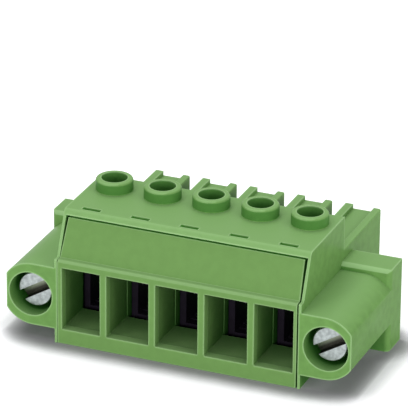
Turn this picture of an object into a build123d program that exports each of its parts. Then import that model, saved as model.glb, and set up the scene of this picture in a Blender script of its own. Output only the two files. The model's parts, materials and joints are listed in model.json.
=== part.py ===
from build123d import *
import os

# Pluggable terminal block with screw flanges, in millimetres.
# The row of positions runs along X. Wires enter at the front (-Y), the plug side faces the
# rear (+Y), and Z is up. Depths are measured back from the wire-entry face, and place()
# moves each finished piece so that the origin is the middle of the base.

# Row
positions = 5
pitch = 7.62

# Front profile, shared by the front frame and the housing's side walls
face_height = 13.25         # upright wire-entry face
ledge_depth = 1.05          # flat ledge from that face back to the sloped panel
ledge_round = 0.5
body_height = 19.84         # flat top of the housing
lip_setback = 3.74          # top front edge of the housing, behind the face
lip_round = 0.8

# Front frame with the wire entries
frame_depth = 8.0
frame_cover = 0.87          # housing's top over the frame
frame_side_gap = 0.13       # beside the upright face, when the frame sits in the middle
frame_shift = 0.1           # the frame sits nearer the left side
panel_taper = 0.27          # each side of the panel draws in by this at the top
panel_setback = 0.35        # the panel's slope, behind the housing's at the lip
frame_back_gap = 0.1
frame_top_gap = 0.35
entry_floor = 2.35
entry_roof = 1.2            # over each entry, up to the top of the upright face
divider = 1.06
end_entry = 2.66            # outer wall of an end entry, from its position's axis
entry_lip = 1.5             # length of each entry's narrower mouth
entry_relief = 0.2          # behind the lip, the walls and the floor step out by this
panel_skin = 1.0
frame_roof = 1.0
latch_length = 2.6
latch_thickness = 0.7
latch_gap = 0.1
latch_recess = 0.6          # latch tip, below the housing's top
latch_setback = 1.04        # middle of the latch, behind the lip

# Housing
side_wall = 0.38            # beside the front frame
floor_wall = 1.1
chamber_width = 6.86
chamber_headroom = 0.65     # above the cage at the top of its travel
chamber_rear_wall = 0.58
edge_round = 0.3

# Screw towers on the top
tower_radius = 2.76
tower_height = 1.78
tower_bore_radius = 1.935
tower_rim_round = 0.4
seat_depth = 3.29           # screw head's seat, below the housing's top
ledge_thickness = 1.15      # what the screw head seats on

# Plug side
plug_depth = 32.6           # rear face, and the depth of the whole part
deck_cover = 0.8            # over the sockets, up to the floor between the guide blocks
guide_height = 2.35         # floor of a guide block's channel, above the deck
guide_width = 5.5
inner_rib_width = 1.2
inner_rib_height = 0.7
outer_rib_width = 1.2
outer_rib_height = 0.65
outer_rib_round = 0.25
plug_chamfer = 0.5
socket_width = 4.6
socket_height = 5.8
socket_rise = 0.95          # contact's axis, above its bar's underside
socket_end_wall = 1.0
pin_opening_width = 3.4
pin_opening_height = 2.0
pin_lead_in = 0.5

# Flanges
flange_height = 7.07        # flange screw axis
boss_radius = 4.85
boss_round_shift = 0.22     # the boss's round outline, inwards from the screw axis
boss_bore_radius = 3.385
flange_block_front = 16.07
flange_block_thickness = 4.83
flange_block_height = 12.98
flange_round = 0.8

# Flange screws
flange_head_radius = 2.65
flange_head_thickness = 2.2
flange_head_chamfer = 0.15
flange_head_recess = 1.7    # front of the head, behind the boss's front
flange_float = 4.0          # how far the screw can move in, as its thread drives
flange_shank_radius = 1.15  # thinner than the thread, which keeps the screw captive
flange_thread_radius = 1.5
flange_thread_reach = 5.0   # thread end, past the flange's rear face
flange_thread_start = 0.3   # where the thread begins, past the same face
flange_slot_width = 1.5
flange_slot_depth = 1.4
flange_slot_angle = 31.0
flange_relief_radius = 2.0  # round the thread, in the flange's rear face
flange_relief_depth = 0.6

# Clamp screws
clamp_head_thickness = 2.0
clamp_shank_radius = 1.5
clamp_slot_width = 0.8
clamp_slot_depth = 0.9
screw_chamfer = 0.3

# Clamp cages
cage_wall = 1.13
cage_floor = 1.2
cage_nut = 2.4              # threaded upper part
cage_length = 7.4
cage_setback = 0.93         # cage's front, behind the front frame's cavity
cage_screw_setback = 3.98   # clamp screw axis, behind the cage's front
cage_groove_count = 4
cage_groove_width = 0.35
cage_groove_depth = 0.2
cage_chamfer = 0.2

# Contacts and their over-springs
bar_thickness = 1.0
bar_overhang = 0.85         # front end of the bar, behind the cage's front
closed_gap = 0.6            # left between the cage's floor and the bar when closed
leg_thickness = 0.7
contact_gap = 0.9           # between the legs where they grip the pin
contact_mouth = 2.4         # between the legs at their open end
leg_grip_setback = 3.2      # grip point, ahead of the socket's end wall
leg_end_gap = 0.5
contact_web_length = 3.0
spring_thickness = 0.3
spring_width = 2.6
spring_end_setback = 1.6
spring_web_length = 2.0

# Clearances
running_gap = 0.06          # radial, screws in their holes
axial_gap = 0.05            # screw head to its seat, screw tip to the bar
slide_gap = 0.15            # cage in its chamber
bar_gap = 0.2               # bar in the cage's window
seat_gap = 0.2              # contact and spring in the socket

# Worked out
row_width = positions * pitch
half_body = row_width / 2
flange_offset = half_body + pitch / 2
half_width = half_body + pitch
frame_half_width = half_body - side_wall - frame_side_gap
cavity_half_width = half_body - side_wall
cavity_top = body_height - frame_cover
frame_top = cavity_top - frame_top_gap
entry_top = face_height - entry_roof
cavity_rear = frame_depth + frame_back_gap
latch_middle = lip_setback + latch_setback
tower_top = body_height + tower_height
cage_width = chamber_width - 2 * slide_gap
cage_front = cavity_rear + cage_setback
cage_rear = cage_front + cage_length
chamber_rear = cage_rear + slide_gap
tall_depth = chamber_rear + chamber_rear_wall
screw_setback = cage_front + cage_screw_setback
cage_low = floor_wall + axial_gap
window_width = cage_width - 2 * cage_wall
window_floor = cage_low + cage_floor
seat_height = body_height - seat_depth
chamber_top = seat_height - ledge_thickness
bar_room = closed_gap + bar_thickness + 2 * bar_gap
cage_travel = (chamber_top - chamber_headroom - cage_nut - bar_room - window_floor) / 2
bar_bottom = window_floor + cage_travel + closed_gap
bar_top = bar_bottom + bar_thickness
window_top = bar_top + 2 * bar_gap
cage_top = window_top + cage_nut
socket_middle = bar_bottom + socket_rise
plug_deck = socket_middle + socket_height / 2 + deck_cover
guide_floor = plug_deck + guide_height
inner_rib_top = guide_floor + inner_rib_height
outer_rib_top = guide_floor + outer_rib_height
bar_width = window_width - 2 * bar_gap
screw_tip = bar_top + axial_gap
clamp_head_radius = tower_bore_radius - running_gap
socket_rear = plug_depth - socket_end_wall
flange_rear = flange_block_front + flange_block_thickness
boss_seat = flange_head_recess + flange_head_thickness + flange_float
centres = [(i - (positions - 1) / 2) * pitch for i in range(positions)]


def place(piece):
    """Moves a finished piece from the wire-entry face to the middle of the base."""
    return Pos(0, -plug_depth / 2, 0) * piece


def block(x, y, z):
    """A box from three pairs of low and high coordinates."""
    size = [high - low for low, high in (x, y, z)]
    return Pos(x[0], y[0], z[0]) * Box(*size, align=(Align.MIN, Align.MIN, Align.MIN))


def side_slab(points, x_low, x_high, rounds=None):
    """An outline of (depth, height) points, carried along X; rounds gives corner radii."""
    outline = make_face(Polyline(*points, close=True))
    for index, radius in (rounds or {}).items():
        corner = outline.vertices().sort_by_distance(points[index])[0]
        outline = fillet(corner, radius)
    return Pos(x_low, 0, 0) * extrude(Plane.YZ * outline, x_high - x_low)


def upright(radius, x, y, z_low, z_high):
    """A cylinder along Z."""
    middle = Pos(x, y, (z_low + z_high) / 2)
    return middle * Cylinder(radius, z_high - z_low)


def lying(radius, x, z, y_front, y_rear):
    """A cylinder along Y."""
    middle = Pos(x, (y_front + y_rear) / 2, z)
    return middle * Rot(90, 0, 0) * Cylinder(radius, y_rear - y_front)


def panel_depth(height):
    """Depth of the sloped panel at a height."""
    slope = (lip_setback + panel_setback - ledge_depth) / (body_height - face_height)
    return ledge_depth + slope * (height - face_height)


def panel_side(edge_x, inward):
    """What is cut from one side of the panel, so that it draws in towards its top."""
    points = [
        (edge_x - inward, face_height),
        (edge_x, face_height),
        (edge_x + inward * panel_taper, frame_top),
        (edge_x - inward, frame_top),
    ]
    outline = make_face(Polyline(*points, close=True))
    return extrude(Plane.XZ.offset(1) * outline, -frame_depth - 2)


def front_frame():
    """The pressed-in frame: wire entries, sloped panel, cored back and latches."""
    profile = [
        (0, 0),
        (0, face_height),
        (ledge_depth, face_height),
        (panel_depth(frame_top), frame_top),
        (frame_depth, frame_top),
        (frame_depth, 0),
    ]
    low_x, high_x = -frame_half_width - frame_shift, frame_half_width - frame_shift
    frame = side_slab(profile, low_x, high_x, {1: ledge_round})
    frame -= panel_side(low_x, 1) + panel_side(high_x, -1)
    core_top = frame_top - frame_roof
    core = [
        (panel_depth(face_height) + panel_skin, face_height),
        (panel_depth(core_top) + panel_skin, core_top),
        (frame_depth + 1, core_top),
        (frame_depth + 1, face_height),
    ]
    for x in centres:
        left = max(x - (pitch - divider) / 2, centres[0] - end_entry)
        right = min(x + (pitch - divider) / 2, centres[-1] + end_entry)
        frame -= block((left, right), (-1, frame_depth + 1), (entry_floor, entry_top))
        behind_x = (left - entry_relief, right + entry_relief)
        behind_z = (entry_floor - entry_relief, entry_top)
        frame -= block(behind_x, (entry_lip, frame_depth + 1), behind_z)
        frame -= side_slab(core, left, right)
        latch_y = (latch_middle - latch_thickness / 2, latch_middle + latch_thickness / 2)
        latch_z = (frame_top - frame_roof / 2, body_height - latch_recess)
        frame += block((x - latch_length / 2, x + latch_length / 2), latch_y, latch_z)
    return frame


def tall_part():
    """The housing's tall front part, before its hollows are cut."""
    profile = [
        (0, 0),
        (0, face_height),
        (ledge_depth, face_height),
        (lip_setback, body_height),
        (tall_depth, body_height),
        (tall_depth, 0),
    ]
    return side_slab(profile, -half_body, half_body, {3: lip_round, 4: edge_round})


def tower(x):
    """A screw tower with a rounded rim."""
    body = upright(tower_radius, x, screw_setback, body_height - 1, tower_top)
    rim = body.edges().filter_by(GeomType.CIRCLE).sort_by(Axis.Z)[-1]
    return fillet(rim, tower_rim_round)


def guide_block(x):
    """One position's guide block on the plug side, with its two ribs."""
    high_x = x + pitch / 2
    low_x = high_x - guide_width
    depth = (tall_depth - 1, plug_depth)
    base = block((low_x, high_x), depth, (plug_deck - 1, guide_floor))
    inner = block((low_x, low_x + inner_rib_width), depth, (guide_floor - 1, inner_rib_top))
    outer = block((high_x - outer_rib_width, high_x), depth, (guide_floor - 1, outer_rib_top))
    crests = outer.edges().filter_by(Axis.Y).group_by(Axis.Z)[-1]
    return base + inner + fillet(crests, outer_rib_round)


def plug_part():
    """The plug side: a deck with a guide block for each position."""
    deck = block((-half_body, half_body), (tall_depth - 1, plug_depth), (0, plug_deck))
    foot = deck.edges().filter_by(Axis.X).group_by(Axis.Y)[-1].sort_by(Axis.Z)[0]
    part = chamfer(foot, plug_chamfer)
    for x in centres:
        part += guide_block(x)
    return part


def flange(side):
    """A flange: a D-shaped boss and the block behind it. side is -1 or 1."""
    axis_x = side * flange_offset
    inner_x = side * (half_body - side_wall / 2)
    outer_x = side * half_width
    x_span = sorted((inner_x, outer_x))
    height = (flange_height - boss_radius, flange_height + boss_radius)
    y_span = (0, flange_block_front + 1)
    round_x = axis_x - side * boss_round_shift
    round_part = lying(boss_radius, round_x, flange_height, *y_span)
    boss = round_part & block(x_span, y_span, height)
    boss += block(sorted((inner_x, round_x)), y_span, height)
    depth = (flange_block_front, flange_rear)
    plate = block(x_span, depth, (0, flange_block_height))
    front = plate.edges().group_by(Axis.Y)[0]
    outer_edge = front.filter_by(Axis.Z).sort_by(Axis.X)[-1 if side > 0 else 0]
    top_edge = front.filter_by(Axis.X).sort_by(Axis.Z)[-1]
    return boss + fillet([outer_edge, top_edge], flange_round)


def screw_ways(side):
    """What is cut out of a flange for its screw."""
    axis_x = side * flange_offset
    head_way = lying(boss_bore_radius, axis_x, flange_height, -1, boss_seat)
    shank_radius = flange_shank_radius + running_gap
    relief_front = flange_rear - flange_relief_depth
    ways = head_way + lying(shank_radius, axis_x, flange_height, boss_seat - 1, flange_rear + 1)
    return ways + lying(flange_relief_radius, axis_x, flange_height, relief_front, flange_rear + 1)


def position_ways(x):
    """What is cut out of the housing for one position."""
    half_chamber = chamber_width / 2
    ways = block(
        (x - half_chamber, x + half_chamber),
        (cavity_rear - 1, chamber_rear),
        (floor_wall, chamber_top),
    )
    ways += upright(clamp_shank_radius + running_gap, x, screw_setback, chamber_top - 1, seat_height + 1)
    ways += upright(tower_bore_radius, x, screw_setback, seat_height, tower_top + 1)
    socket_z = (socket_middle - socket_height / 2, socket_middle + socket_height / 2)
    socket_x = (x - socket_width / 2, x + socket_width / 2)
    ways += block(socket_x, (chamber_rear - 1, socket_rear), socket_z)
    window = latch_length / 2 + latch_gap
    window_y = latch_thickness / 2 + latch_gap / 2
    ways += block(
        (x - window, x + window),
        (latch_middle - window_y, latch_middle + window_y),
        (cavity_top - 1, body_height + 1),
    )
    return ways + pin_opening(x)


def pin_opening(x):
    """The opening for a header pin, widening towards the rear face."""
    narrow = Rectangle(pin_opening_width, pin_opening_height)
    wide = Rectangle(pin_opening_width + 2 * pin_lead_in, pin_opening_height + 2 * pin_lead_in)
    upright_plane = Plane((x, plug_depth, socket_middle), x_dir=(1, 0, 0), z_dir=(0, -1, 0))
    mouth = loft([upright_plane * wide, upright_plane.offset(pin_lead_in) * narrow])
    half_x, half_z = pin_opening_width / 2, pin_opening_height / 2
    throat = block(
        (x - half_x, x + half_x),
        (socket_rear - 1, plug_depth),
        (socket_middle - half_z, socket_middle + half_z),
    )
    return mouth + throat


def housing():
    """The moulded housing: body, towers, plug side and flanges in one piece."""
    shell = tall_part() + plug_part()
    for side in (-1, 1):
        shell += flange(side)
        shell -= screw_ways(side)
    for x in centres:
        shell += tower(x)
    cavity_x = (-cavity_half_width, cavity_half_width)
    shell -= block(cavity_x, (-1, cavity_rear), (-1, cavity_top))
    for x in centres:
        shell -= position_ways(x)
    return shell


def slotted_head(radius, thickness, rim_chamfer, slot_width, slot_depth, angle):
    """A cheese head lying at z 0 to thickness, with a screwdriver slot in its top."""
    head = Pos(0, 0, thickness / 2) * Cylinder(radius, thickness)
    rim = head.edges().filter_by(GeomType.CIRCLE).sort_by(Axis.Z)[-1]
    head = chamfer(rim, rim_chamfer)
    slot = Box(2 * radius + 1, slot_width, 2 * slot_depth)
    return head - Pos(0, 0, thickness) * Rot(0, 0, angle) * slot


def threaded_end(radius, length):
    """A screw's threaded end at its major radius, from z 0 down, chamfered at its tip."""
    body = Pos(0, 0, -length / 2) * Cylinder(radius, length)
    return chamfer(body.edges().filter_by(GeomType.CIRCLE).sort_by(Axis.Z)[0], screw_chamfer)


def clamp_screw(x):
    """A clamp screw: its head in the tower, its tip over the contact's bar."""
    under_head = seat_height + axial_gap
    head = slotted_head(
        clamp_head_radius,
        clamp_head_thickness,
        screw_chamfer,
        clamp_slot_width,
        clamp_slot_depth,
        0,
    )
    screw = head + threaded_end(clamp_shank_radius, under_head - screw_tip)
    return Pos(x, screw_setback, under_head) * screw


def flange_screw(side):
    """A flange screw: its head in the boss, its thread end past the flange's rear."""
    under_head = flange_head_recess + flange_head_thickness
    head = slotted_head(
        flange_head_radius,
        flange_head_thickness,
        flange_head_chamfer,
        flange_slot_width,
        flange_slot_depth,
        flange_slot_angle,
    )
    thread_run = flange_thread_reach - flange_thread_start
    plain = flange_rear + flange_thread_start - under_head
    screw = head + Pos(0, 0, -plain / 2) * Cylinder(flange_shank_radius, plain)
    screw += Pos(0, 0, -plain) * threaded_end(flange_thread_radius, thread_run)
    return Pos(side * flange_offset, under_head, flange_height) * Rot(90, 0, 0) * screw


def clamp_cage(x):
    """A clamp cage: a ring round the bar, with a threaded hole for the clamp screw."""
    half = cage_width / 2
    ring = block((x - half, x + half), (cage_front, cage_rear), (cage_low, cage_top))
    mouth_edges = ring.edges().filter_by(Axis.Z).group_by(Axis.Y)[0]
    ring = chamfer(mouth_edges, cage_chamfer)
    half_window = window_width / 2
    window_x = (x - half_window, x + half_window)
    ring -= block(window_x, (cage_front - 1, cage_rear + 1), (window_floor, window_top))
    ring -= upright(clamp_shank_radius + running_gap, x, screw_setback, window_top - 1, cage_top + 1)
    groove_step = cage_length / (cage_groove_count + 1)
    for i in range(cage_groove_count):
        middle = cage_front + (i + 1) * groove_step
        groove_y = (middle - cage_groove_width / 2, middle + cage_groove_width / 2)
        ring -= block(window_x, groove_y, (window_floor - cage_groove_depth, window_floor + 1))
    return ring


def leg_outline(upward):
    """One contact leg as (depth, height) points, bowed in to the grip point."""
    web_front = chamber_rear + seat_gap
    outer = socket_height / 2 - seat_gap - spring_thickness - axial_gap
    inner = outer - leg_thickness
    grip_y = socket_rear - leg_grip_setback
    end_y = socket_rear - leg_end_gap
    grip = contact_gap / 2
    mouth = contact_mouth / 2
    rise = [
        (web_front, outer),
        (web_front + contact_web_length, outer),
        (grip_y, grip + leg_thickness),
        (end_y, mouth + leg_thickness),
        (end_y, mouth),
        (grip_y, grip),
        (web_front + contact_web_length, inner),
        (web_front, inner),
    ]
    return [(y, socket_middle + upward * z) for y, z in rise]


def contact(x):
    """A contact: the bar under the clamp screw, a side web and two spring legs."""
    bar_x = (x - bar_width / 2, x + bar_width / 2)
    leg_right = x + bar_width / 2 - spring_thickness - axial_gap
    web_front = chamber_rear + seat_gap
    web_rear = web_front + contact_web_length
    bar_rear = web_rear - spring_web_length - axial_gap
    piece = block(bar_x, (cage_front + bar_overhang, bar_rear), (bar_bottom, bar_top))
    piece += block((bar_x[0], leg_right), (bar_rear - 1, web_rear), (bar_bottom, bar_top))
    web_z = socket_height / 2 - seat_gap - spring_thickness - axial_gap
    web_x = (x - bar_width / 2, x - bar_width / 2 + leg_thickness)
    piece += block(web_x, (web_front, web_rear), (socket_middle - web_z, socket_middle + web_z))
    for upward in (-1, 1):
        piece += side_slab(leg_outline(upward), x - bar_width / 2, leg_right)
    return piece


def contact_spring(x):
    """The steel over-spring that presses a contact's legs together."""
    web_front = chamber_rear + seat_gap
    outer = socket_height / 2 - seat_gap
    inner = outer - spring_thickness
    press_y = socket_rear - leg_grip_setback
    press = contact_gap / 2 + leg_thickness + axial_gap
    end_y = socket_rear - spring_end_setback
    slope = (contact_mouth - contact_gap) / 2 / (leg_grip_setback - leg_end_gap)
    lift = press + slope * (end_y - press_y)
    start_y = web_front + contact_web_length - spring_web_length
    bend_y = web_front + contact_web_length
    rise = [
        (start_y, outer),
        (bend_y, outer),
        (press_y, press + spring_thickness),
        (end_y, lift + spring_thickness),
        (end_y, lift),
        (press_y, press),
        (bend_y, inner),
        (start_y, inner),
    ]
    web_high = x + bar_width / 2
    web_x = (web_high - spring_thickness, web_high)
    web = block(web_x, (start_y, bend_y), (socket_middle - outer, socket_middle + outer))
    for upward in (-1, 1):
        leaf = [(y, socket_middle + upward * z) for y, z in rise]
        web += side_slab(leaf, web_high - spring_width, web_high)
    return web


def pieces():
    """Every piece by its node's name."""
    named = {"housing": housing(), "front_frame": front_frame()}
    named["flange_screw_left"] = flange_screw(-1)
    named["flange_screw_right"] = flange_screw(1)
    for number, x in enumerate(centres, 1):
        named[f"clamp_screw_{number}"] = clamp_screw(x)
        named[f"clamp_cage_{number}"] = clamp_cage(x)
        named[f"contact_{number}"] = contact(x)
        named[f"contact_spring_{number}"] = contact_spring(x)
    return named


os.makedirs("parts", exist_ok=True)
for name, piece in pieces().items():
    export_step(place(piece), f"parts/{name}.step")
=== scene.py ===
import json
import math
from collections import namedtuple

import bpy
from bpy.props import FloatProperty, FloatVectorProperty, IntProperty, PointerProperty
from bpy.types import Operator, Panel, PropertyGroup
from mathutils import Matrix, Vector


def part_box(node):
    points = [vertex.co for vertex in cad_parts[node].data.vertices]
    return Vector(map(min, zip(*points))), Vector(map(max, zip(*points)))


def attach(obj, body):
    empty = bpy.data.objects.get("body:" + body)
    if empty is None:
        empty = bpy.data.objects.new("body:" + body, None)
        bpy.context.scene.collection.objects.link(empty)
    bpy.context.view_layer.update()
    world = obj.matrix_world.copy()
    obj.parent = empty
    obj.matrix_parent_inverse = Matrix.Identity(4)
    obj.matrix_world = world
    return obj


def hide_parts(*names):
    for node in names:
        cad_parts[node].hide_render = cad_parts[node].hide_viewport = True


bl_info = {
    "name": "Pluggable terminal block",
    "version": (1, 0, 0),
    "blender": (4, 5, 0),
    "location": "View3D > Sidebar > Terminal block",
    "description": "Dresses the frame of a pluggable terminal block with screw flanges",
    "category": "Object",
}

MM = 0.001

# Merging, rounding and cutting the frame's shapes. The entry split is a share of the front
# frame's height, the overshoot a share of the thread's depth, and a triangle's height is in radii.
MERGED_WITHIN = 0.002 * MM
FLAT_WITHIN = math.radians(0.8)
ROUNDED_ABOVE = math.radians(35)
SMOOTH_BELOW = math.radians(32)
CUTTER_OVERSHOOT = 1 / 3
TRIANGLE_HEIGHT = 1.5
ENTRY_SPLIT = 0.4

# Which narrow faces get a painted highlight, by the cosine to these directions, and how much.
UP_AND_FORWARD = Vector((0, -1, 1)).normalized()
UP_AND_BACK = Vector((0, 1, 1)).normalized()
LOOKS_FORWARD = 0.9
LOOKS_BACK = 0.85
LIT_FACE_AREA = 20 * MM * MM
RIM_LIGHT = 1.0
FLANGE_LIGHT = 0.8
BODY_LIGHT = 0.35

# Where an effect starts and is full, by noise, by openness or thickness, or by the normal's Z: the
# grain's drift and gloss, and the painted sheen, shade and highlights.
DRIFT_NOISE = (0.35, 0.65)
GLOSS_NOISE = (0.3, 0.7)
TOP_FACING = (0.6, 1)
WALL_FACING = (0.5, 0.1)
HOLLOW_OPENNESS = (0.5, 0.14)
EDGE_THICKNESS = (0.93, 0.6)
EDGE_OPENNESS = (0.2, 0.6)
TOWER_WALL_SHARE = 0.6
EDGE_SHARE = 0.85
EDGE_REACH = 0.3 * MM
HOLLOW_REACH = 8 * MM
DECK_MARGIN = 0.1 * MM
LATCH_SLOT_DEPTH = 1.5 * MM

# A screwdriver slot's parts, as shares of its depth, and the painted shade on its bed, from dark to a
# painted lit strip across it.
SLOT_START, SLOT_BED, SLOT_END = 0.05, 0.93, 1.05
SLOT_BED_LIT = (-0.3, 0.9)
SLOT_MARGIN = 0.02 * MM
RING_SHARE = 0.5

# The stage. The floor's painted shadow stops are openness and grey, and a lamp has a place and a width
# in metres.
FLOOR_WIDTH = 6
FLOOR_GAP = 0.02 * MM
PAPER_GREY = 0.86
PAINTED_SHADOW_REACH = 4 * MM
PAINTED_SHADOW_STOPS = ((0.25, 0.5), (0.52, 0.28), (0.7, 0.3), (0.88, 0.5), (1.0, 0.86))
PAINTED_SHADOW_TINT = (1, 0.99, 1.03)
LIFT_REACH = 6 * MM
LIFT_FROM = 0.72
LAMPS = {
    "key": ((-0.29, -0.35, 0.72), 0.2),
    "top": ((-0.2, 0.35, 0.8), 0.5),
    "front": ((0.1, -0.9, 0.15), 0.3),
    "side": ((0.85, -0.25, 0.35), 0.5),
}

# The camera's sensor in millimetres, as Blender takes it, and its clipping distance in metres.
SENSOR_WIDTH = 36
NEAREST_SEEN = 0.01

Finish = namedtuple("Finish", "material tree shader grain relief")

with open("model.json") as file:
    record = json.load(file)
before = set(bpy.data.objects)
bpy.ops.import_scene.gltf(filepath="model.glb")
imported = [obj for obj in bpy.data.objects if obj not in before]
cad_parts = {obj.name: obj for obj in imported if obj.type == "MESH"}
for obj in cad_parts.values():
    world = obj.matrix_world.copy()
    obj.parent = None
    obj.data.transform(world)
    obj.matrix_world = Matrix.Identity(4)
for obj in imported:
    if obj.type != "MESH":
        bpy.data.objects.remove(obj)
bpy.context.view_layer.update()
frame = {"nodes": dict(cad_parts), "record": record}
mounts = {mount["name"]: mount for mount in frame["record"]["mounts"]}
positions = sum(node.startswith("clamp_screw_") for node in frame["nodes"])


class BlockSizes(PropertyGroup):
    """Sizes that the frame doesn't give."""

    mould_round: FloatProperty(
        name="Moulded edge",
        description="Radius on the outer edges of the green mouldings",
        default=0.15 * MM,
        unit="LENGTH",
        precision=5,
    )
    metal_round: FloatProperty(
        name="Metal edge",
        description="Radius on the edges of the screws and cages",
        default=0.08 * MM,
        unit="LENGTH",
        precision=5,
    )
    round_steps: IntProperty(
        name="Steps",
        description="Faces across each rounded edge",
        default=2,
        min=1,
        max=6,
    )
    thread_pitch: FloatProperty(
        name="Thread pitch",
        description="Rise of one turn of the M3 threads",
        default=0.5 * MM,
        unit="LENGTH",
        precision=5,
    )
    thread_depth: FloatProperty(
        name="Thread depth",
        description="Depth of the V groove below the screw's outer radius",
        default=0.3 * MM,
        unit="LENGTH",
        precision=5,
    )
    clamp_thread_run: FloatProperty(
        name="Clamp thread",
        description="Length of thread on a clamp screw",
        default=8 * MM,
        unit="LENGTH",
        precision=5,
    )
    deck_height: FloatProperty(
        name="Deck height",
        description="Height of the flat top that the towers stand on",
        default=19.84 * MM,
        unit="LENGTH",
        precision=5,
    )
    body_half_width: FloatProperty(
        name="Body half width",
        description="From the middle to where the flanges start",
        default=19.2 * MM,
        unit="LENGTH",
        precision=5,
    )
    flange_slot_width: FloatProperty(
        name="Flange slot",
        description="Width of a flange screw's slot",
        default=1.5 * MM,
        unit="LENGTH",
        precision=5,
    )
    flange_slot_depth: FloatProperty(
        name="Flange slot depth",
        description="Depth of a flange screw's slot",
        default=1.4 * MM,
        unit="LENGTH",
        precision=5,
    )
    flange_slot_turn: FloatProperty(
        name="Flange slot turn",
        description="Turn of the line across a flange screw's slot, from +X towards +Z",
        default=math.radians(121),
        subtype="ANGLE",
    )
    clamp_slot_width: FloatProperty(
        name="Clamp slot",
        description="Width of a clamp screw's slot",
        default=0.8 * MM,
        unit="LENGTH",
        precision=5,
    )
    clamp_slot_depth: FloatProperty(
        name="Clamp slot depth",
        description="Depth of a clamp screw's slot",
        default=0.9 * MM,
        unit="LENGTH",
        precision=5,
    )
    thread_steps: IntProperty(
        name="Thread steps",
        description="Faces round one turn of the thread",
        default=40,
        min=12,
        max=96,
    )


class BlockColours(PropertyGroup):
    """Base colours of the finishes, linear."""

    housing: FloatVectorProperty(
        name="Housing",
        description="Green moulding of the housing",
        default=(0.138, 0.282, 0.078),
        subtype="COLOR",
        min=0,
        max=1,
    )
    front_frame: FloatVectorProperty(
        name="Front frame",
        description="Green moulding of the wire-entry frame",
        default=(0.138, 0.266, 0.079),
        subtype="COLOR",
        min=0,
        max=1,
    )
    zinc: FloatVectorProperty(
        name="Zinc",
        description="Bright zinc on the screws",
        default=(0.43, 0.475, 0.465),
        subtype="COLOR",
        min=0,
        max=1,
    )
    # The cage's near black is painted shade: it stands for the deep shadow inside the wire entries.
    cage: FloatVectorProperty(
        name="Clamp cage",
        description="Dark passivated steel of the clamp cages",
        default=(0.014, 0.01, 0.018),
        subtype="COLOR",
        min=0,
        max=1,
    )
    contact: FloatVectorProperty(
        name="Contact",
        description="Tinned copper alloy of the contacts",
        default=(0.66, 0.65, 0.61),
        subtype="COLOR",
        min=0,
        max=1,
    )
    spring: FloatVectorProperty(
        name="Contact spring",
        description="Stainless steel of the over-springs",
        default=(0.5, 0.49, 0.47),
        subtype="COLOR",
        min=0,
        max=1,
    )


class BlockStage(PropertyGroup):
    """Camera and studio light."""

    azimuth: FloatProperty(
        name="Azimuth",
        description="Camera's turn to the right of straight ahead",
        default=math.radians(22.108),
        subtype="ANGLE",
    )
    elevation: FloatProperty(
        name="Elevation",
        description="Camera's angle above the floor",
        default=math.radians(24.165),
        subtype="ANGLE",
    )
    roll: FloatProperty(
        name="Roll",
        description="Camera's turn about its own line of sight",
        default=math.radians(0.561),
        subtype="ANGLE",
    )
    distance: FloatProperty(
        name="Distance",
        description="From the camera to the point it looks at",
        default=566.757 * MM,
        unit="LENGTH",
    )
    lens: FloatProperty(
        name="Focal length",
        description="In millimetres, on a 36 mm sensor",
        default=344.12,
    )
    aim_depth: FloatProperty(
        name="Aim depth",
        description="Point looked at, behind the wire-entry face",
        default=12 * MM,
        unit="LENGTH",
    )
    aim_height: FloatProperty(
        name="Aim height",
        description="Point looked at, above the base",
        default=9 * MM,
        unit="LENGTH",
    )
    pan: FloatProperty(
        name="Pan",
        description="How far the camera and its aim move to the right",
        default=-0.581 * MM,
        unit="LENGTH",
        precision=5,
    )
    rise: FloatProperty(
        name="Rise",
        description="How far the camera and its aim move up in the picture",
        default=10.471 * MM,
        unit="LENGTH",
        precision=5,
    )
    key_power: FloatProperty(
        name="Key lamp",
        description="Power of the small lamp above and in front",
        default=0.6,
        unit="POWER",
    )
    top_power: FloatProperty(
        name="Top lamp",
        description="Power of the soft lamp above and behind",
        default=2.8,
        unit="POWER",
    )
    front_power: FloatProperty(
        name="Front lamp",
        description="Power of the soft low lamp in front",
        default=3.4,
        unit="POWER",
    )
    side_power: FloatProperty(
        name="Side lamp",
        description="Power of the soft lamp at the right",
        default=2.4,
        unit="POWER",
    )
    room_light: FloatProperty(
        name="Room light",
        description="Strength of the even light from all round",
        default=0.7,
    )
    floor_lift: FloatProperty(
        name="Floor lift",
        description="What the camera sees added to the open floor, so that it reads white",
        default=0.35,
    )


def sizes():
    """The sizes set on the scene."""
    return bpy.context.scene.block_sizes


def colours():
    """The colours set on the scene."""
    return bpy.context.scene.block_colours


def pick(piece):
    """Selects one object alone and makes it active."""
    bpy.ops.object.select_all(action="DESELECT")
    piece.select_set(True)
    bpy.context.view_layer.objects.active = piece


def copy_of(node, name, split_height=None):
    """A new piece with a frame node's shape, its loose triangles merged into whole faces.

    A face with holes is merged more cleanly where it is split through them, at split_height.
    """
    piece = bpy.data.objects.new(name, frame["nodes"][node].data.copy())
    bpy.context.collection.objects.link(piece)
    piece.data.name = name
    piece.data.materials.clear()
    pick(piece)
    bpy.ops.mesh.customdata_custom_splitnormals_clear()
    bpy.ops.object.mode_set(mode="EDIT")
    bpy.ops.mesh.select_all(action="SELECT")
    bpy.ops.mesh.remove_doubles(threshold=MERGED_WITHIN)
    if split_height is not None:
        bpy.ops.mesh.bisect(plane_co=(0, 0, split_height), plane_no=(0, 0, 1))
        bpy.ops.mesh.mark_seam()
        bpy.ops.mesh.select_all(action="SELECT")
    bpy.ops.mesh.dissolve_limited(angle_limit=FLAT_WITHIN, delimit={"SEAM"})
    bpy.ops.object.mode_set(mode="OBJECT")
    return piece


def apply_all(piece):
    """Applies a piece's modifiers in order."""
    pick(piece)
    for modifier in list(piece.modifiers):
        bpy.ops.object.modifier_apply(modifier=modifier.name)


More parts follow.
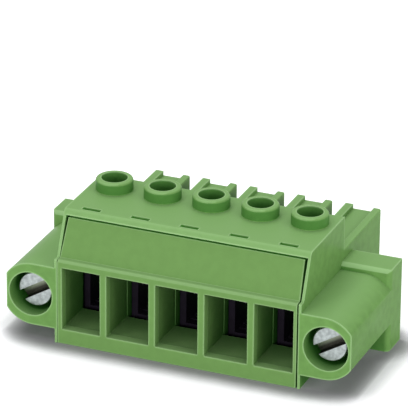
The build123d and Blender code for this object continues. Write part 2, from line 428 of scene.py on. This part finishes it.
def round_edges(piece, radius):
    """Rounds a piece's sharp edges, and marks its rounds for painted highlights."""
    pick(piece)
    bpy.ops.object.shade_smooth()
    bevel = piece.modifiers.new("rounded_edges", "BEVEL")
    bevel.width = radius
    bevel.segments = sizes().round_steps
    bevel.limit_method = "ANGLE"
    bevel.angle_limit = ROUNDED_ABOVE
    bevel.harden_normals = True
    apply_all(piece)
    mark_lit_rounds(piece)


def lit_share(face):
    """How far a face gets a painted highlight: tower rims that look back, and rounds that look forward.
    """
    if face.area > LIT_FACE_AREA:
        return 0.0
    at_rim = face.center.y < 0 and face.center.z > sizes().deck_height + MM
    if at_rim and face.normal.dot(UP_AND_BACK) > LOOKS_BACK:
        return RIM_LIGHT
    if face.normal.dot(UP_AND_FORWARD) < LOOKS_FORWARD:
        return 0.0
    return FLANGE_LIGHT if abs(face.center.x) > sizes().body_half_width else BODY_LIGHT


def mark_lit_rounds(piece):
    """Writes each face's painted highlight share as the attribute lit_round, for the moulded materials.
    """
    marks = piece.data.attributes.new("lit_round", "FLOAT", "FACE")
    marks.data.foreach_set("value", [lit_share(face) for face in piece.data.polygons])


def finish_piece(piece, material, body, slot, *nodes):
    """Gives a piece its material and its body, and hides the nodes that it stands for; slot is not used.
    """
    piece.data.materials.clear()
    piece.data.materials.append(material)
    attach(piece, body)
    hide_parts(*nodes)


def dress(node, material):
    """Gives a frame node that keeps its own shape its material."""
    mesh = frame["nodes"][node].data
    mesh.materials.clear()
    mesh.materials.append(material)


def node_at(tree, kind, x, y, **settings):
    """A shader node at a place in the tree, with its settings and constant inputs."""
    made = tree.nodes.new(kind)
    made.location = (x, y)
    for key, value in settings.items():
        if hasattr(made, key):
            setattr(made, key, value)
        else:
            made.inputs[key.replace("_", " ").title()].default_value = value
    return made


def set_inputs(node, values):
    """Sets a node's constant inputs by their labels."""
    for label, value in values.items():
        node.inputs[label].default_value = value


def feed(tree, socket, value):
    """Joins an input to another node's output, or sets it to a constant."""
    if isinstance(value, bpy.types.NodeSocket):
        tree.links.new(value, socket)
    else:
        socket.default_value = value


def maths(tree, x, y, operation, *values):
    """A Math node on outputs or constants. Gives its output."""
    made = node_at(tree, "ShaderNodeMath", x, y, operation=operation)
    for socket, value in zip(made.inputs, values):
        feed(tree, socket, value)
    return made.outputs["Value"]


def spread(tree, x, y, value, start, end, first=0, last=1, **settings):
    """A value between start and end, carried over to between first and last. Gives its output."""
    made = node_at(tree, "ShaderNodeMapRange", x, y, **settings)
    limits = {"Value": value, "From Min": start, "From Max": end, "To Min": first, "To Max": last}
    for label, limit in limits.items():
        feed(tree, made.inputs[label], limit)
    return made.outputs["Result"]


def blend(tree, x, y, share, first, second):
    """A Mix node from a first colour to a second. Gives its output."""
    made = node_at(tree, "ShaderNodeMix", x, y, data_type="RGBA")
    for index, value in ((0, share), (6, first), (7, second)):
        feed(tree, made.inputs[index], value)
    return made.outputs[2]


def new_group(name, inputs, outputs):
    """An empty node group with named number inputs and outputs."""
    tree = bpy.data.node_groups.new(name, "ShaderNodeTree")
    for label, default in inputs.items():
        kind = "NodeSocketColor" if isinstance(default, tuple) else "NodeSocketFloat"
        socket = tree.interface.new_socket(label, in_out="INPUT", socket_type=kind)
        socket.default_value = default
    for label in outputs:
        kind = "NodeSocketColor" if label == "Color" else "NodeSocketFloat"
        tree.interface.new_socket(label, in_out="OUTPUT", socket_type=kind)
    return tree, node_at(tree, "NodeGroupInput", -900, 0), node_at(tree, "NodeGroupOutput", 600, 0)


def grain_group():
    """Fine grain with a slow drift under it: a colour, a gloss change and a height."""
    name = "Fine grain"
    if name in bpy.data.node_groups:
        return bpy.data.node_groups[name]
    inputs = {
        "Tint": (0.5, 0.5, 0.5, 1),
        "Drift Tint": (0.5, 0.5, 0.5, 1),
        "Grain Scale": 5000.0,
        "Drift Scale": 70.0,
        "Smoothest": 0.4,
        "Roughest": 0.55,
    }
    tree, given, result = new_group(name, inputs, ["Color", "Roughness", "Height"])
    place = node_at(tree, "ShaderNodeTexCoord", -900, -300)
    grain = node_at(tree, "ShaderNodeTexNoise", -600, -100, detail=3.0)
    drift = node_at(tree, "ShaderNodeTexNoise", -600, -400, detail=2.0)
    for texture, scale in ((grain, "Grain Scale"), (drift, "Drift Scale")):
        tree.links.new(place.outputs["Object"], texture.inputs["Vector"])
        tree.links.new(given.outputs[scale], texture.inputs["Scale"])
    share = spread(tree, -300, -400, drift.outputs["Fac"], *DRIFT_NOISE)
    tint = blend(tree, 0, 0, share, given.outputs["Tint"], given.outputs["Drift Tint"])
    gloss_limits = (given.outputs["Smoothest"], given.outputs["Roughest"])
    gloss = spread(tree, 0, -250, grain.outputs["Fac"], *GLOSS_NOISE, *gloss_limits)
    tree.links.new(tint, result.inputs["Color"])
    tree.links.new(gloss, result.inputs["Roughness"])
    tree.links.new(grain.outputs["Fac"], result.inputs["Height"])
    return tree


def scaled(colour, red, green, blue):
    """A colour with each part scaled, and its alpha."""
    return (colour[0] * red, colour[1] * green, colour[2] * blue, 1)


def paler(colour, gain, added):
    """A colour with all its parts raised alike, and its alpha."""
    return (*[part * gain + added for part in colour], 1)


def grained(
    name,
    colour,
    drift,
    grain_scale,
    drift_scale,
    smoothest,
    roughest,
    bump=0.2,
    bump_height=0.01 * MM,
    metallic=0.0,
):
    """A finish of one colour that drifts to drift times as light, with fine grain."""
    material = bpy.data.materials.new(name)
    material.use_nodes = True
    material.diffuse_color = (*colour, 1)
    tree = material.node_tree
    shader = tree.nodes["Principled BSDF"]
    shader.inputs["Metallic"].default_value = metallic
    grain = node_at(tree, "ShaderNodeGroup", -500, 100)
    grain.node_tree = grain_group()
    looks = {
        "Tint": (*colour, 1),
        "Drift Tint": scaled(colour, drift, drift, drift),
        "Grain Scale": grain_scale,
        "Drift Scale": drift_scale,
        "Smoothest": smoothest,
        "Roughest": roughest,
    }
    set_inputs(grain, looks)
    relief = node_at(tree, "ShaderNodeBump", -250, -200, strength=bump, distance=bump_height)
    tree.links.new(grain.outputs["Color"], shader.inputs["Base Color"])
    tree.links.new(grain.outputs["Roughness"], shader.inputs["Roughness"])
    tree.links.new(grain.outputs["Height"], relief.inputs["Height"])
    tree.links.new(relief.outputs["Normal"], shader.inputs["Normal"])
    return Finish(material, tree, shader, grain, relief)


def moulded_group():
    """A moulding's tone with painted light and shade: a painted sheen on top, painted highlights on
    outer edges, and painted shade in hollows and on tower walls.

    Openness and Thickness are 1 where nothing lies near, outside or inside the plastic. In the latch
    slots, just below the deck, the painted shade gives way to a painted green glow.
    """
    name = "Moulded tone"
    if name in bpy.data.node_groups:
        return bpy.data.node_groups[name]
    inputs = {
        "Color": (0.5, 0.5, 0.5, 1),
        "Edge Color": (0.6, 0.6, 0.6, 1),
        "Hollow Color": (0.2, 0.2, 0.2, 1),
        "Top Color": (0.6, 0.6, 0.6, 1),
        "Shallow Color": (0.8, 0.8, 0.8, 1),
        "Lit Round": 0.0,
        "Thickness": 1.0,
        "Openness": 1.0,
        "Deck": 20 * MM,
    }
    tree, given, result = new_group(name, inputs, ["Color"])
    tone = given.outputs
    surface = node_at(tree, "ShaderNodeNewGeometry", -1500, 300)
    facing = node_at(tree, "ShaderNodeSeparateXYZ", -1300, 300)
    place = node_at(tree, "ShaderNodeTexCoord", -1500, 0)
    parts = node_at(tree, "ShaderNodeSeparateXYZ", -1300, 0)
    tree.links.new(surface.outputs["Normal"], facing.inputs["Vector"])
    tree.links.new(place.outputs["Object"], parts.inputs["Vector"])
    looks_up, height = facing.outputs["Z"], parts.outputs["Z"]

    # Painted sheen: faces that look up are paler, as if the white room shone on them.
    upward = spread(tree, -500, 300, looks_up, *TOP_FACING)
    # Painted shade in hollows, by ambient occlusion, and on the towers' side walls above the deck, in
    # front.
    hollow = spread(tree, -700, -200, tone["Openness"], *HOLLOW_OPENNESS)
    above = maths(tree, -1000, 100, "GREATER_THAN", height, tone["Deck"])
    front = maths(tree, -1000, -100, "LESS_THAN", parts.outputs["Y"], 0)
    tower = maths(tree, -700, 0, "MULTIPLY", above, front)
    wall = spread(tree, -700, 150, looks_up, *WALL_FACING, 0, TOWER_WALL_SHARE)
    tower_wall = maths(tree, -500, 0, "MULTIPLY", tower, wall)
    depth = maths(tree, -300, -100, "MAXIMUM", hollow, tower_wall)

    # Inside the latch slots the painted shade gives way to a painted green glow.
    slot_bed = maths(tree, -1000, -300, "SUBTRACT", tone["Deck"], LATCH_SLOT_DEPTH)
    over_bed = maths(tree, -800, -300, "GREATER_THAN", height, slot_bed)
    in_slot = maths(tree, -500, -350, "SUBTRACT", over_bed, above)
    latch_slot = maths(tree, -300, -350, "MULTIPLY", in_slot, hollow)

    # Painted highlights on thin outer edges that lie open, and on the marked lit rounds.
    edge = spread(tree, -500, -500, tone["Thickness"], *EDGE_THICKNESS, 0, EDGE_SHARE)
    shown = spread(tree, -500, -800, tone["Openness"], *EDGE_OPENNESS)
    open_edge = maths(tree, -300, -600, "MULTIPLY", edge, shown)
    lit = maths(tree, -100, -500, "MAXIMUM", open_edge, tone["Lit Round"])

    pale = blend(tree, -350, 200, upward, tone["Color"], tone["Top Color"])
    deep = blend(tree, -100, 0, depth, pale, tone["Hollow Color"])
    with_slot_glow = blend(tree, 100, 0, latch_slot, deep, tone["Shallow Color"])
    light = blend(tree, 300, 0, lit, with_slot_glow, tone["Edge Color"])
    tree.links.new(light, result.inputs["Color"])
    return tree


def moulded(name, colour, drift):
    """The green plastic: fine matt grain, painted highlights on outer edges and painted shade in
    hollows.
    """
    finish = grained(
        name,
        colour,
        drift=drift,
        grain_scale=4500,
        drift_scale=800,
        smoothest=0.3,
        roughest=0.42,
        bump=0.3,
    )
    tree, shader = finish.tree, finish.shader
    shader.inputs["Specular IOR Level"].default_value = 0.02
    tone = node_at(tree, "ShaderNodeGroup", -250, 350)
    tone.node_tree = moulded_group()
    # Painted highlight, painted sheen, painted shade and painted slot glow, all made from the plastic's
    # own colour.
    looks = {
        "Edge Color": paler(colour, 1.25, 0.11),
        "Top Color": paler(colour, 1.08, 0.033),
        "Hollow Color": scaled(colour, 0.22, 0.52, 0.24),
        "Shallow Color": scaled(colour, 0.7, 1.35, 0.6),
        "Deck": sizes().deck_height + DECK_MARGIN,
    }
    set_inputs(tone, looks)
    rounds = node_at(tree, "ShaderNodeAttribute", -500, 500, attribute_name="lit_round")
    # Ambient occlusion: inside for the painted edge highlights, outside for the painted shade in
    # hollows.
    kind = "ShaderNodeAmbientOcclusion"
    thickness = node_at(tree, kind, -500, 700, samples=8, inside=True, distance=EDGE_REACH)
    openness = node_at(tree, kind, -500, 300, samples=8, distance=HOLLOW_REACH)
    tree.links.new(rounds.outputs["Fac"], tone.inputs["Lit Round"])
    tree.links.new(thickness.outputs["AO"], tone.inputs["Thickness"])
    tree.links.new(openness.outputs["AO"], tone.inputs["Openness"])
    tree.links.new(finish.grain.outputs["Color"], tone.inputs["Color"])
    tree.links.new(tone.outputs["Color"], shader.inputs["Base Color"])
    return finish.material


def slot_group():
    """A screwdriver slot's painted shade: a colour that changes with the depth in the slot, dark on the
    walls, with a painted lit strip across its bed.

    Across is the distance from the slot's middle plane, and Depth is the depth below the
    head's face.
    """
    name = "Slot shade"
    if name in bpy.data.node_groups:
        return bpy.data.node_groups[name]
    inputs = {
        "Color": (0.5, 0.5, 0.5, 1),
        "Wall": (0.03, 0.03, 0.03, 1),
        "Floor": (0.15, 0.15, 0.14, 1),
        "Lit Floor": (0.2, 0.2, 0.2, 1),
        "Across": 0.0,
        "Depth": 0.0,
        "Half Width": 0.5 * MM,
        "Slot Depth": 1.0 * MM,
    }
    tree, given, result = new_group(name, inputs, ["Color"])
    slot = given.outputs
    side = maths(tree, -600, 200, "ABSOLUTE", slot["Across"])
    within = maths(tree, -400, 200, "LESS_THAN", side, slot["Half Width"])
    share = maths(tree, -600, -100, "DIVIDE", slot["Depth"], slot["Slot Depth"])
    under_face = maths(tree, -400, 0, "GREATER_THAN", share, SLOT_START)
    over_end = maths(tree, -400, -200, "LESS_THAN", share, SLOT_END)
    at_bed = maths(tree, -400, -400, "GREATER_THAN", share, SLOT_BED)
    opened = maths(tree, -200, 100, "MULTIPLY", within, under_face)
    inside = maths(tree, 0, 100, "MULTIPLY", opened, over_end)
    way_over = maths(tree, -600, -550, "DIVIDE", slot["Across"], slot["Half Width"])
    lit = spread(tree, -400, -600, way_over, *SLOT_BED_LIT)
    bed = blend(tree, -200, -500, lit, slot["Floor"], slot["Lit Floor"])
    shade = blend(tree, 0, -200, at_bed, slot["Wall"], bed)
    tint = blend(tree, 300, 0, inside, slot["Color"], shade)
    tree.links.new(tint, result.inputs["Color"])
    return tree


def shade_slot(finish, face, inward, turn, width, depth):
    """Paints shade into a screw's slot. face is the middle of the head's face, inward its way in."""
    tree = finish.tree
    place = node_at(tree, "ShaderNodeTexCoord", -1500, 500)
    from_face = node_at(tree, "ShaderNodeVectorMath", -1300, 500, operation="SUBTRACT")
    from_face.inputs[1].default_value = face
    tree.links.new(place.outputs["Object"], from_face.inputs[0])
    across = Vector((math.cos(turn), 0, math.sin(turn))) if inward.y else Vector((0, 1, 0))
    group = node_at(tree, "ShaderNodeGroup", -250, 350)
    group.node_tree = slot_group()
    for label, direction in (("Across", across), ("Depth", inward)):
        along = node_at(tree, "ShaderNodeVectorMath", -1100, 500, operation="DOT_PRODUCT")
        along.inputs[1].default_value = direction
        tree.links.new(from_face.outputs["Vector"], along.inputs[0])
        tree.links.new(along.outputs["Value"], group.inputs[label])
    # Painted shade on the slot's walls and bed, with a painted lit strip across the bed.
    looks = {
        "Wall": (0.012, 0.012, 0.011, 1),
        "Floor": (0.045, 0.045, 0.035, 1),
        "Lit Floor": (0.3, 0.34, 0.25, 1),
        "Half Width": width / 2 + SLOT_MARGIN,
        "Slot Depth": depth,
    }
    set_inputs(group, looks)
    tree.links.new(finish.grain.outputs["Color"], group.inputs["Color"])
    tree.links.new(group.outputs["Color"], finish.shader.inputs["Base Color"])


def turned_zinc(name, centre, face, inward, turn, width, depth):
    """Zinc over turned steel: fine rings round a screw's own axis, under a soft grain, with painted
    shade in the slot.

    centre lies on the axis, and the rest tells where the screw's slot is.
    """
    finish = grained(
        name,
        colours().zinc,
        drift=0.66,
        grain_scale=5000,
        drift_scale=1700,
        smoothest=0.25,
        roughest=0.45,
        bump=0.4,
        bump_height=0.02 * MM,
        metallic=1.0,
    )
    tree = finish.tree
    place = node_at(tree, "ShaderNodeTexCoord", -1100, -400)
    centred = node_at(tree, "ShaderNodeMapping", -900, -400, vector_type="POINT")
    centred.inputs["Location"].default_value = -centre
    rings = node_at(tree, "ShaderNodeTexWave", -700, -400, wave_type="RINGS", scale=2200, distortion=0.6)
    rings.rings_direction = "Y" if inward.y else "Z"
    tree.links.new(place.outputs["Object"], centred.inputs["Vector"])
    tree.links.new(centred.outputs["Vector"], rings.inputs["Vector"])
    grain_height = finish.grain.outputs["Height"]
    height = maths(tree, -450, -350, "MULTIPLY_ADD", rings.outputs["Fac"], RING_SHARE, grain_height)
    tree.links.new(height, finish.relief.inputs["Height"])
    shade_slot(finish, face, inward, turn, width, depth)
    return finish.material


def groove_cutter(radius, foot, length, turn=(0, 0, 0)):
    """A closed cutter: a V groove's coil from foot on, along Z or where turn points it."""
    values = sizes()
    height = values.thread_depth * (1 + CUTTER_OVERSHOOT)
    reach = height / TRIANGLE_HEIGHT
    bpy.ops.object.select_all(action="DESELECT")
    bpy.ops.mesh.primitive_circle_add(
        vertices=3,
        radius=reach,
        location=(radius - values.thread_depth + reach, 0, 0),
        rotation=(math.radians(90), math.radians(-90), 0),
    )
    cutter = bpy.context.object
    bpy.ops.object.transform_apply(location=True, rotation=True, scale=True)
    coil = cutter.modifiers.new("coil", "SCREW")
    coil.axis = "Z"
    coil.screw_offset = values.thread_pitch
    coil.iterations = math.ceil(length / values.thread_pitch)
    coil.steps = values.thread_steps
    coil.render_steps = values.thread_steps
    apply_all(cutter)
    bpy.ops.object.mode_set(mode="EDIT")
    bpy.ops.mesh.select_all(action="SELECT")
    bpy.ops.mesh.fill_holes(sides=3)
    bpy.ops.mesh.normals_make_consistent(inside=False)
    bpy.ops.object.mode_set(mode="OBJECT")
    cutter.location = foot
    cutter.rotation_euler = turn
    bpy.ops.object.transform_apply(location=True, rotation=True, scale=True)
    return cutter


def cut(piece, cutter):
    """Cuts one piece with another, which is used up."""
    modifier = piece.modifiers.new("cut", "BOOLEAN")
    modifier.operation = "DIFFERENCE"
    modifier.solver = "EXACT"
    modifier.object = cutter
    apply_all(piece)
    bpy.data.objects.remove(cutter)
    bpy.ops.object.shade_smooth_by_angle(angle=SMOOTH_BELOW)


class TERMINAL_OT_housing(Operator):
    """The housing with its moulded edges rounded"""

    bl_idname = "terminal_block.housing"
    bl_label = "Housing"

    def execute(self, context):
        plastic = moulded("housing_green", colours().housing, drift=0.88)
        piece = copy_of("housing", "moulded_housing")
        round_edges(piece, sizes().mould_round)
        finish_piece(piece, plastic, "housing", "housing_plastic", "housing")
        return {"FINISHED"}


class TERMINAL_OT_front_frame(Operator):
    """The wire-entry frame with its moulded edges rounded"""

    bl_idname = "terminal_block.front_frame"
    bl_label = "Front frame"

    def execute(self, context):
        plastic = moulded("frame_green", colours().front_frame, drift=0.95)
        split_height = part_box("front_frame")[1].z * ENTRY_SPLIT
        piece = copy_of("front_frame", "moulded_front_frame", split_height)
        round_edges(piece, sizes().mould_round)
        finish_piece(piece, plastic, "housing", "frame_plastic", "front_frame")
        return {"FINISHED"}


class TERMINAL_OT_flange_screws(Operator):
    """The flange screws with their threads cut"""

    bl_idname = "terminal_block.flange_screws"
    bl_label = "Flange screws"

    def execute(self, context):
        for side in ("left", "right"):
            node = f"flange_screw_{side}"
            mount = mounts[f"flange_thread_{side}"]
            middle = Vector(mount["pos_m"])
            front = Vector((middle.x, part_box(node)[0].y, middle.z))
            slot = (sizes().flange_slot_turn, sizes().flange_slot_width, sizes().flange_slot_depth)
            inward = Vector((0, 1, 0))
            zinc = turned_zinc(f"flange_zinc_{side}", middle, front, inward, *slot)
            piece = copy_of(node, f"threaded_{node}")
            round_edges(piece, sizes().metal_round)
            length = mount["dims"]["length_mm"] * MM
            foot = middle - Vector((0, length / 2 - sizes().thread_pitch, 0))
            along_y = (math.radians(-90), 0, 0)
            cut(piece, groove_cutter(mount["dims"]["r_mm"] * MM, foot, length, along_y))
            finish_piece(piece, zinc, node, "flange_screw_zinc", node)
        return {"FINISHED"}


class TERMINAL_OT_clamp_screws(Operator):
    """The clamp screws in the towers, with their threads cut"""

    bl_idname = "terminal_block.clamp_screws"
    bl_label = "Clamp screws"

    def execute(self, context):
        values = sizes()
        for number in range(1, positions + 1):
            node = f"clamp_screw_{number}"
            low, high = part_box(node)
            axis = (low + high) / 2
            top = Vector((axis.x, axis.y, high.z))
            slot = (0, values.clamp_slot_width, values.clamp_slot_depth)
            inward = Vector((0, 0, -1))
            zinc = turned_zinc(f"clamp_zinc_{number}", axis, top, inward, *slot)
            piece = copy_of(node, f"threaded_{node}")
            round_edges(piece, values.metal_round)
            foot = (axis.x, axis.y, low.z - values.thread_pitch)
            radius = mounts["flange_thread_right"]["dims"]["r_mm"] * MM
            cut(piece, groove_cutter(radius, foot, values.clamp_thread_run))
            finish_piece(piece, zinc, node, "clamp_screw_zinc", node)
        return {"FINISHED"}


class TERMINAL_OT_clamp_cages(Operator):
    """The clamp cages, coloured near black as painted shade for the deep wire entries"""

    bl_idname = "terminal_block.clamp_cages"
    bl_label = "Clamp cages"

    def execute(self, context):
        # Near-black painted shade for the cages deep in the entries.
        steel = grained(
            "cage_dark_steel",
            colours().cage,
            drift=0.7,
            grain_scale=5000,
            drift_scale=600,
            smoothest=0.45,
            roughest=0.6,
        )
        steel.shader.inputs["Specular IOR Level"].default_value = 0.1
        for number in range(1, positions + 1):
            node = f"clamp_cage_{number}"
            piece = copy_of(node, f"rounded_{node}")
            round_edges(piece, sizes().metal_round)
            finish_piece(piece, steel.material, node, "cage_steel", node)
        return {"FINISHED"}


class TERMINAL_OT_contacts(Operator):
    """The contacts and their over-springs"""

    bl_idname = "terminal_block.contacts"
    bl_label = "Contacts"

    def execute(self, context):
        tinned = grained(
            "tinned_copper",
            colours().contact,
            drift=0.88,
            grain_scale=6000,
            drift_scale=500,
            smoothest=0.25,
            roughest=0.45,
            metallic=1.0,
        ).material
        spring = grained(
            "spring_stainless",
            colours().spring,
            drift=0.9,
            grain_scale=8000,
            drift_scale=700,
            smoothest=0.2,
            roughest=0.35,
            metallic=1.0,
        ).material
        for number in range(1, positions + 1):
            dress(f"contact_{number}", tinned)
            dress(f"contact_spring_{number}", spring)
        return {"FINISHED"}


def background_share(tree, x, y):
    """1 for what the camera, a reflection or a transmitted ray sees, otherwise 0."""
    path = node_at(tree, "ShaderNodeLightPath", x, y).outputs
    seen = maths(tree, x + 200, y, "MAXIMUM", path["Is Camera Ray"], path["Is Glossy Ray"])
    return maths(tree, x + 400, y, "MAXIMUM", seen, path["Is Transmission Ray"])


def floor_material(stage):
    """White paper with a painted shadow, grey close to the block by ambient occlusion, lifted to plain
    white where it lies open.
    """
    made = bpy.data.materials.new("studio_floor_white")
    made.use_nodes = True
    tree = made.node_tree
    tree.nodes.clear()
    kind = "ShaderNodeAmbientOcclusion"
    contact = node_at(tree, kind, -700, 250, samples=16, distance=PAINTED_SHADOW_REACH)
    openness = node_at(tree, kind, -700, 450, samples=16, distance=LIFT_REACH)
    shade = node_at(tree, "ShaderNodeValToRGB", -450, 250)
    ramp = shade.color_ramp
    ramp.elements[0].position = PAINTED_SHADOW_STOPS[0][0]
    ramp.elements[1].position = PAINTED_SHADOW_STOPS[-1][0]
    for place, _ in PAINTED_SHADOW_STOPS[1:-1]:
        ramp.elements.new(place)
    for stop, (_, grey) in zip(ramp.elements, PAINTED_SHADOW_STOPS):
        stop.color = scaled((grey, grey, grey), *PAINTED_SHADOW_TINT)
    tree.links.new(contact.outputs["AO"], shade.inputs["Fac"])
    seen = background_share(tree, -1400, -100)
    # The camera and reflections see the painted shadow, other rays the plain grey paper.
    paper = blend(tree, -150, 250, seen, (PAPER_GREY, PAPER_GREY, PAPER_GREY, 1), shade.outputs["Color"])
    matt = node_at(tree, "ShaderNodeBsdfDiffuse", 0, 100)
    tree.links.new(paper, matt.inputs["Color"])
    smooth = {"interpolation_type": "SMOOTHSTEP"}
    clear = spread(tree, -450, 400, openness.outputs["AO"], LIFT_FROM, 1, **smooth)
    risen = maths(tree, -400, -100, "MULTIPLY", seen, clear)
    strength = maths(tree, -200, -100, "MULTIPLY", risen, stage.floor_lift)
    lift = node_at(tree, "ShaderNodeEmission", 0, -100)
    tree.links.new(strength, lift.inputs["Strength"])
    both = node_at(tree, "ShaderNodeAddShader", 250, 0)
    output = node_at(tree, "ShaderNodeOutputMaterial", 450, 0)
    tree.links.new(matt.outputs["BSDF"], both.inputs[0])
    tree.links.new(lift.outputs["Emission"], both.inputs[1])
    tree.links.new(both.outputs["Shader"], output.inputs["Surface"])
    return made


def add_floor(stage):
    """A pale floor that keeps its real shadow, has a painted shadow close to the block and reads white
    elsewhere.
    """
    bpy.ops.object.select_all(action="DESELECT")
    bpy.ops.mesh.primitive_plane_add(size=FLOOR_WIDTH, location=(0, 0, -FLOOR_GAP))
    floor = bpy.context.object
    floor.name = "studio_floor"
    floor.data.materials.append(floor_material(stage))


def add_room(stage):
    """Even white light from all round, seen as plain white."""
    world = bpy.data.worlds.new("studio_room")
    bpy.context.scene.world = world
    world.use_nodes = True
    tree = world.node_tree
    tree.nodes.clear()
    seen = background_share(tree, -900, 0)
    strength = spread(tree, -200, 0, seen, 0, 1, stage.room_light, 1)
    room = node_at(tree, "ShaderNodeBackground", 50, 0)
    output = node_at(tree, "ShaderNodeOutputWorld", 250, 0)
    room.inputs["Color"].default_value = (1, 1, 1, 1)
    tree.links.new(strength, room.inputs["Strength"])
    tree.links.new(room.outputs["Background"], output.inputs["Surface"])


def add_lamp(name, place, width, power):
    """A large soft lamp that faces the block."""
    lamp = bpy.data.lights.new(name, "AREA")
    lamp.shape = "SQUARE"
    lamp.size = width
    lamp.energy = power
    holder = bpy.data.objects.new(name, lamp)
    bpy.context.collection.objects.link(holder)
    facing = (-Vector(place)).to_track_quat("-Z", "Y").to_matrix().to_4x4()
    holder.matrix_world = Matrix.Translation(place) @ facing


def add_camera(stage):
    """The camera at the photograph's viewing angle."""
    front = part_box("front_frame")[0].y
    turn, climb = stage.azimuth, stage.elevation
    level = Vector((math.cos(turn), math.sin(turn), 0))
    back = Vector((math.sin(turn), -math.cos(turn), 0)) * math.cos(climb)
    back.z = math.sin(climb)
    upright = back.cross(level)
    right = level * math.cos(stage.roll) + upright * math.sin(stage.roll)
    up = upright * math.cos(stage.roll) - level * math.sin(stage.roll)
    aim = Vector((0, front + stage.aim_depth, stage.aim_height))
    place = aim + right * stage.pan + up * stage.rise + back * stage.distance
    data = bpy.data.cameras.new("studio_camera")
    data.lens = stage.lens
    data.sensor_width = SENSOR_WIDTH
    data.clip_start = NEAREST_SEEN
    camera = bpy.data.objects.new("studio_camera", data)
    bpy.context.collection.objects.link(camera)
    camera.matrix_world = Matrix.Translation(place) @ Matrix((right, up, back)).transposed().to_4x4()
    bpy.context.scene.camera = camera


class TERMINAL_OT_stage(Operator):
    """The floor, the soft lamps, the room light and the camera"""

    bl_idname = "terminal_block.stage"
    bl_label = "Stage"

    def execute(self, context):
        stage = context.scene.block_stage
        context.scene.view_settings.view_transform = "Standard"
        add_floor(stage)
        add_room(stage)
        for name, (place, width) in LAMPS.items():
            add_lamp(f"{name}_lamp", place, width, getattr(stage, f"{name}_power"))
        add_camera(stage)
        return {"FINISHED"}


OPERATORS = (
    TERMINAL_OT_housing,
    TERMINAL_OT_front_frame,
    TERMINAL_OT_flange_screws,
    TERMINAL_OT_clamp_screws,
    TERMINAL_OT_clamp_cages,
    TERMINAL_OT_contacts,
    TERMINAL_OT_stage,
)


class TERMINAL_PT_panel(Panel):
    """Lists the block's sizes, colours and steps"""

    bl_idname = "TERMINAL_PT_panel"
    bl_label = "Terminal block"
    bl_space_type = "VIEW_3D"
    bl_region_type = "UI"
    bl_category = "Terminal block"

    def draw(self, context):
        for group in (context.scene.block_sizes, context.scene.block_colours, context.scene.block_stage):
            column = self.layout.box().column()
            for name in group.__annotations__:
                column.prop(group, name)
        for operator in OPERATORS:
            self.layout.operator(operator.bl_idname)


CLASSES = (BlockSizes, BlockColours, BlockStage, *OPERATORS, TERMINAL_PT_panel)


def register():
    """Registers the classes and hangs the settings on the scene."""
    for made in CLASSES:
        bpy.utils.register_class(made)
    bpy.types.Scene.block_sizes = PointerProperty(type=BlockSizes)
    bpy.types.Scene.block_colours = PointerProperty(type=BlockColours)
    bpy.types.Scene.block_stage = PointerProperty(type=BlockStage)


def unregister():
    """Takes the settings and the classes away again."""
    del bpy.types.Scene.block_sizes
    del bpy.types.Scene.block_colours
    del bpy.types.Scene.block_stage
    for made in reversed(CLASSES):
        bpy.utils.unregister_class(made)


def main():
    register()
    for operator in OPERATORS:
        group, step = operator.bl_idname.split(".")
        getattr(getattr(bpy.ops, group), step)()


if __name__ == "__main__":
    main()
